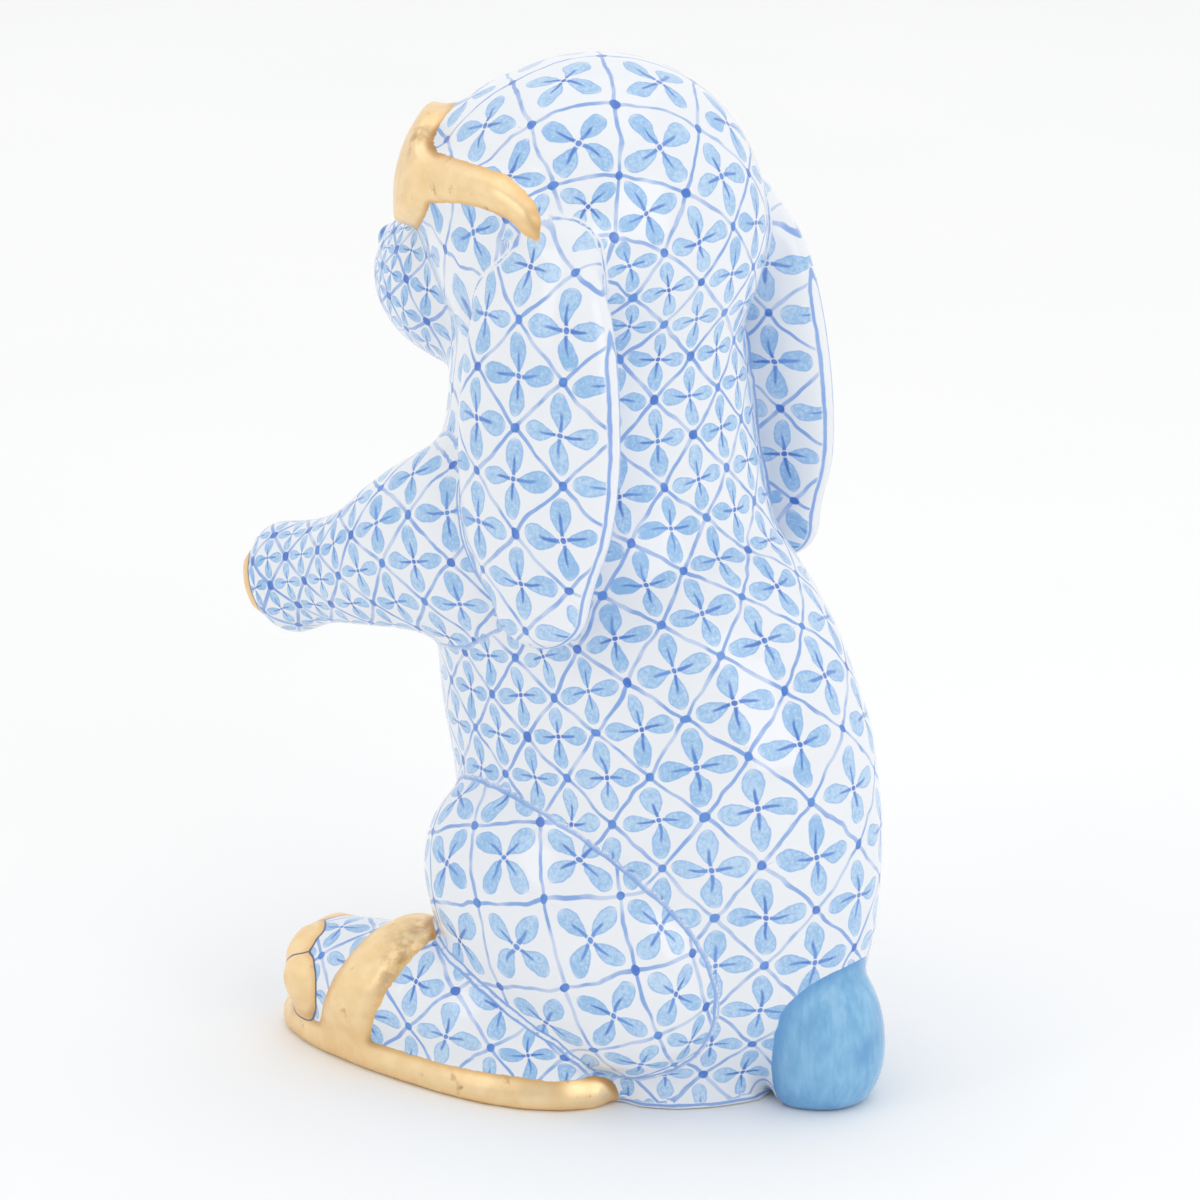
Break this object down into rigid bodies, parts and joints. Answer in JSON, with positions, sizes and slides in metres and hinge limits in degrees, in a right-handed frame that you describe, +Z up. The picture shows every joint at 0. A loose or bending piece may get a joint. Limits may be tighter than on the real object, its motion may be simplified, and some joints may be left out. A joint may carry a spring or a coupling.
{
  "type": "rabbit figurine",
  "caption": "Glazed porcelain rabbit sitting upright with lop ears, raised gilded sunglasses and gilded strap sandals, painted blue on white, on a flat base.",
  "frame": {"origin": "centre of the base on the surface it stands on, under the middle of its box", "axes": "+Z up, the rabbit looks along -Y, its left side is +X"},
  "size_m": [0.0418, 0.0614, 0.0898],
  "materials": {
    "body_glaze": "white porcelain under clear gloss glaze, hand painted in blue",
    "tail_glaze": "solid brushed blue under clear gloss glaze",
    "gilding": "burnished gold painted on glazed porcelain relief"
  },
  "bodies": {
    "root": {"torso": "body_glaze", "head": "body_glaze", "ear_left": "body_glaze", "ear_right": "body_glaze", "arm_left": "body_glaze", "arm_right": "body_glaze", "haunch_left": "body_glaze", "haunch_right": "body_glaze", "foot_left": "body_glaze", "foot_right": "body_glaze", "tail": "tail_glaze", "sandal_sole_left": "gilding", "sandal_sole_right": "gilding", "sandal_strap_left": "gilding", "sandal_strap_right": "gilding", "toe_claw_1_left": "gilding", "toe_claw_2_left": "gilding", "toe_claw_3_left": "gilding", "toe_claw_1_right": "gilding", "toe_claw_2_right": "gilding", "toe_claw_3_right": "gilding", "paw_claw_1_left": "gilding", "paw_claw_2_left": "gilding", "paw_claw_3_left": "gilding", "paw_claw_1_right": "gilding", "paw_claw_2_right": "gilding", "paw_claw_3_right": "gilding", "lens_left": "gilding", "lens_right": "gilding", "temple_left": "gilding", "temple_right": "gilding", "bridge": "gilding"}
  },
  "joints": []
}
